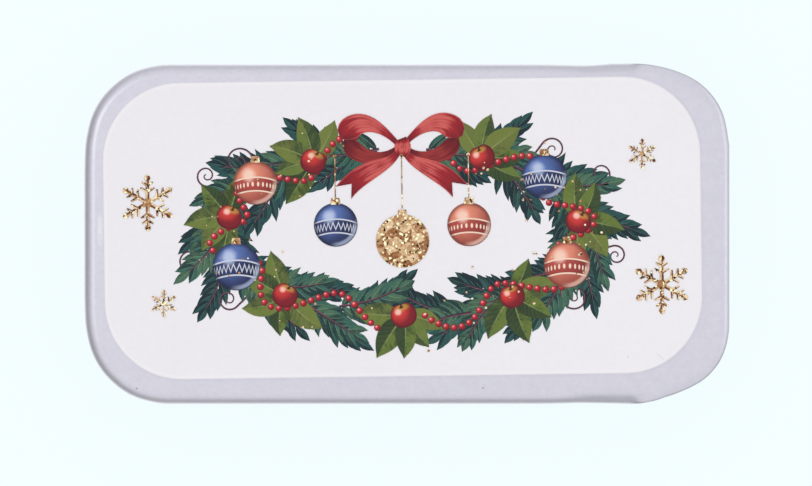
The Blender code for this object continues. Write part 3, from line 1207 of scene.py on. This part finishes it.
# Each is (side, turn on the wreath, how far out, radius) or (x, y, radius), in mm and degrees.
TUCKED_IN = {
    "blue": [(-1, 112, 0.4, 3.5), (1, 52, 0.6, 3.3)],
    "coral": [(-1, 54, 0.6, 3.2), (1, 114, 0.4, 3.4)],
}
HUNG = {"blue": (-9.8, 0.6, 3.2), "coral": (9.8, 0.4, 3.2), "foil": (0.0, -1.9, 3.9)}
BAND_TOP = 0.31


def bauble_finish(name, dark, middle, light, band, line, dotted):
    ink, along, across, wash = new_ink(name, 330.0)
    x, y, from_middle = ball_map(along, across)
    from_light = distance(x + 0.30, y - 0.38)
    shade = (from_light + wash * 0.45).ease(1.35, 0.15)
    ball = shade.blend(dark, middle)
    up_band = y + x * x * 0.20 + 0.05
    repeat = (x / (1.35 - from_middle * 0.55) * 5 + 50).sawtooth() - 0.5
    in_band = abs(up_band).ease(BAND_TOP, 0.28)
    ball = (in_band * 0.85).blend(ball, shade.blend(scaled(band, 0.45), band))
    if dotted:
        figure = distance(repeat, up_band * 2.1).ease(0.27, 0.19)
    else:
        figure = abs(up_band + (abs(repeat) - 0.25) * 0.62).ease(0.075, 0.045)
    edges = abs(abs(up_band) - BAND_TOP).ease(0.045, 0.02)
    ball = ((figure * in_band + edges) * 0.9).ease(0.0, 1.0).blend(ball, line)
    lit = (from_light + wash * 0.3).ease(0.42, 0.10) * 0.85
    rim = (from_middle + wash * 0.1).ease(0.78, 1.0) * 0.8
    ball = rim.blend(lit.blend(ball, light), scaled(dark, 0.5))
    far_side = from_middle.ease(0.74, 0.86) * (x - y).ease(0.55, 1.15)
    back_light = far_side * from_middle.ease(1.0, 0.93) * 0.5
    return ink.coloured(back_light.blend(ball, light))


def bauble_places(colour):
    places = []
    for side, turn, out, radius in TUCKED_IN.get(colour, []):
        places.append((on_wreath(side, math.radians(turn), out * MM), radius * MM))
    x, y, radius = HUNG[colour]
    places.append((Vector((x, y)) * MM, radius * MM))
    return places


def print_baubles(name, dotted):
    ink = Ink(7)
    for number, (middle, radius) in enumerate(bauble_places(name)):
        ink.lie(number)
        ink.disc(middle, radius, 56)
    finish = bauble_finish(name + "_bauble_ink", *BAUBLE_COLOURS[name], dotted)
    ink.print_on_label(name + "_baubles", finish)


print_baubles("blue", dotted=False)
print_baubles("coral", dotted=True)

# %% [markdown]
# ## The bow
#
# The bow is drawn as a maker would tie it: on each side a loop whose inner face is dark and
# a tail cut to a swallowtail, and a knot on top.  Every stretch is a strip along a Bezier
# curve that is narrow at the knot.

# %% The ribbon
BOW = Vector((0.0, 11.9)) * MM


def curve(points, side):
    """A cubic Bezier path through the bow, mirrored for the left side."""
    start, first, second, end = [BOW + Vector((side * x, y)) * MM for x, y in points]

    def path(share):
        rest = 1 - share
        from_start = start * rest ** 3 + first * 3 * share * rest ** 2
        return from_start + second * 3 * share ** 2 * rest + end * share ** 3

    return path


def loop_width(widest):
    def half_width(share):
        rounded = math.sqrt(max(1 - max(share - 0.8, 0) ** 2 / 0.042, 0.02))
        return (0.35 + (widest - 0.35) * eased(share * 1.15)) * rounded * MM

    return half_width


def tail_width(share):
    return (0.45 + 1.0 * eased(share * 1.3)) * MM


def knot_width(share):
    return (0.75 + 0.45 * math.sin(math.pi * share)) * MM


def ribbon_finish(name, dark, middle, light):
    ink, along, across, wash = new_ink(name, 380.0)
    crease = ink.noise(1.0, places=joined(ink, along * 1.6, across * 7.0))
    swell = along.ease(0.0, 0.35) * along.ease(1.15, 0.6)
    lift = swell * 0.55 + crease * 0.75 + wash * 0.35
    cloth = lift.ease(0.25, 0.75).blend(dark, middle)
    sheen = lift.ease(0.72, 0.98).blend(cloth, light)
    hem = abs(across - 0.5).ease(0.44, 0.47) * 0.45
    return ink.coloured(hem.blend(sheen, light))


def print_bow():
    inner = Ink(7.5)
    outer = Ink(8)
    for side in (-1, 1):
        tail = curve([(0.3, -0.3), (1.6, -3.2), (5.2, -2.4), (8.6, -6.6)], side)
        outer.lie(side + 2)
        outer.strip(tail, tail_width, 16, rows=2, tone=0.4, notch=0.12)
        back = curve([(0.3, 0.1), (3.0, -2.2), (6.4, -2.0), (8.2, 1.3)], side)
        inner.lie(side + 2)
        inner.strip(back, loop_width(1.3), 16, rows=2, tone=0.2)
        front = curve([(0.3, 0.2), (3.2, 3.6), (6.6, 5.0), (8.7, 1.4)], side)
        outer.lie(side + 12)
        outer.strip(front, loop_width(1.75), 18, rows=2, tone=0.7)
    outer.lie(24)
    knot = curve([(0.0, 1.25), (0.25, 0.6), (0.25, -0.6), (0.0, -1.25)], 1)
    outer.strip(knot, knot_width, 8, rows=2)
    reds = (0.045, 0.004, 0.008), (0.16, 0.010, 0.016), (0.30, 0.03, 0.03)
    inner.print_on_label("bow_inside", ribbon_finish("ribbon_inside_ink", *reds))
    reds = (0.095, 0.006, 0.014), (0.31, 0.014, 0.022), (0.60, 0.11, 0.10)
    outer.print_on_label("bow", ribbon_finish("ribbon_ink", *reds))


print_bow()

# %% [markdown]
# ## Gold foil
#
# The last thing on the sheet is hot foil: a thin metal film pressed on after the inks.  It
# is crumpled a little, so each small facet throws back its own shade of gold.  One Voronoi
# pattern gives the facets, and a finer one the bright and dark flecks.

# %% The foil
# Each snowflake is (x, y, radius), in mm.
SNOWFLAKES = [(-37.4, 4.2, 3.9), (38.0, -8.8, 4.1), (-35.2, -10.6, 1.9), (35.4, 10.4, 2.1)]
STRING_TOP = BOW.y - 1.2 * MM
CAP_HEIGHT = 0.95 * MM
GOLDS = [
    (0.0, (0.16, 0.055, 0.022)),
    (0.35, (0.36, 0.17, 0.075)),
    (0.7, (0.62, 0.42, 0.24)),
    (1.0, (0.82, 0.66, 0.44)),
]


def cells(foil, scale):
    """Two random numbers for each cell of a Voronoi pattern."""
    inputs = {"Vector": foil.places, "Scale": scale}
    return foil.node("ShaderNodeTexVoronoi", {}, inputs, output="Color").parts()[:2]


def foil_finish():
    foil = Finish("gold_foil", {"Metallic": 1.0})
    facet_tone, facet_tilt = cells(foil, 900.0)
    fleck_tone, fleck_kind = cells(foil, 3400.0)
    _, across = along_and_across(foil)
    bevel = (across.ease(0.46, 0.54) - 0.5) * foil.attribute("tone") * 0.7
    mixed = facet_tone * 0.7 + fleck_tone * 0.35 + bevel
    gold = foil.node("ShaderNodeValToRGB", {"stops": GOLDS}, {0: mixed})
    gold = fleck_kind.ease(0.86, 0.90).blend(gold, (0.95, 0.93, 0.62))
    gold = fleck_kind.ease(0.10, 0.06).blend(gold, (0.045, 0.022, 0.012))
    foil.feed("Roughness", 0.26 + fleck_tone * 0.2)
    foil.bump(facet_tilt * 0.7 + fleck_tone * 0.3, 0.35, 0.03 * MM)
    return foil.coloured(gold)


def snowflake(ink, middle, radius):
    """Six arms, each with two pairs of side branches and a lozenge at its tip."""

    def lozenge(share):
        return radius * (0.012 + 0.10 * math.sin(math.pi * share))

    for number in range(6):
        heading = math.radians(60 * number + 30)
        arm = bent(middle, heading, radius)
        ink.lie(6 * (number % 2))
        ink.strip(arm, tapered(0.070, 0.055, radius), 4, tone=1.0)
        ink.lie(18)
        for share, reach in ((0.42, 0.30), (0.66, 0.24)):
            for side in (-1, 1):
                branch = bent(arm(share), heading + side * math.radians(60), radius * reach)
                ink.strip(branch, tapered(0.052, 0.032, radius), 2, tone=1.0)
        ink.lie(24)
        ink.strip(bent(arm(0.80), heading, radius * 0.27), lozenge, 6, tone=1.0)
    ink.lie(30)
    ink.disc(middle, radius * 0.17, 12, tone=0.0)


def print_foil():
    foil = Ink(9)
    for x, y, radius in SNOWFLAKES:
        snowflake(foil, Vector((x, y)) * MM, radius * MM)
    middle, radius = bauble_places("foil")[0]
    foil.lie(0)
    foil.disc(middle, radius, 56, tone=0.0)
    for colour in ("blue", "coral", "foil"):
        foil.lie(12)
        for middle, radius in bauble_places(colour):
            ball_top = middle + Vector((0, radius * 0.93))
            cap = bent(ball_top, math.pi / 2, CAP_HEIGHT)
            foil.strip(cap, tapered(0.70, 0.58), 2, tone=0.0)
        foil.lie(6)
        cap_top = ball_top + Vector((0, 0.9 * MM))
        string = bent(cap_top, math.pi / 2, STRING_TOP - cap_top.y)
        foil.strip(string, tapered(0.07, 0.07), 3, tone=0.0)
        foil.disc(string(1.0), 0.26 * MM, 10, tone=0.0)
    for number in range(90):
        side = hand.choice((-1, 1))
        turn = math.radians(hand.uniform(15, 178))
        place = on_wreath(side, turn, out=hand.gauss(0, 2.6) * MM)
        foil.lie(18 + number % 18)
        foil.disc(place, hand.uniform(0.09, 0.22) * MM, 8, tone=0.0)
    foil.print_on_label("gold_foil", foil_finish())


print_foil()

# %% [markdown]
# ## The table top
#
# The table is only the stage: a sheet of opal plastic lit from below, as product
# photographers use to keep shadows away.  It lies a hair below the tin's foot, because two
# faces in one plane would shade each other.

# %% The table
TABLE_SIZE = 3.0
TABLE_GLOW = (0.83, 0.92, 0.935)
TABLE_COLOUR = (0.075, 0.075, 0.075)
HAIR = 0.02 * MM


def make_table():
    glowing = {"Emission Color": (*TABLE_GLOW, 1), "Emission Strength": 1.0}
    opal = Finish("opal_table", {**glowing, "Specular IOR Level": 0.0})
    shade = opal.noise(14.0, detail=3.0)
    opal.feed("Base Color", shade.blend(TABLE_COLOUR, scaled(TABLE_COLOUR, 1.04)))
    opal.feed("Roughness", 0.75 + shade * 0.1)
    bm = bmesh.new()
    below = Matrix.Translation((0, 0, -HAIR))
    bmesh.ops.create_grid(bm, x_segments=1, y_segments=1, size=TABLE_SIZE / 2, matrix=below)
    table = mesh_piece(bm, "table", opal.material)
    table.visible_glossy = False


make_table()
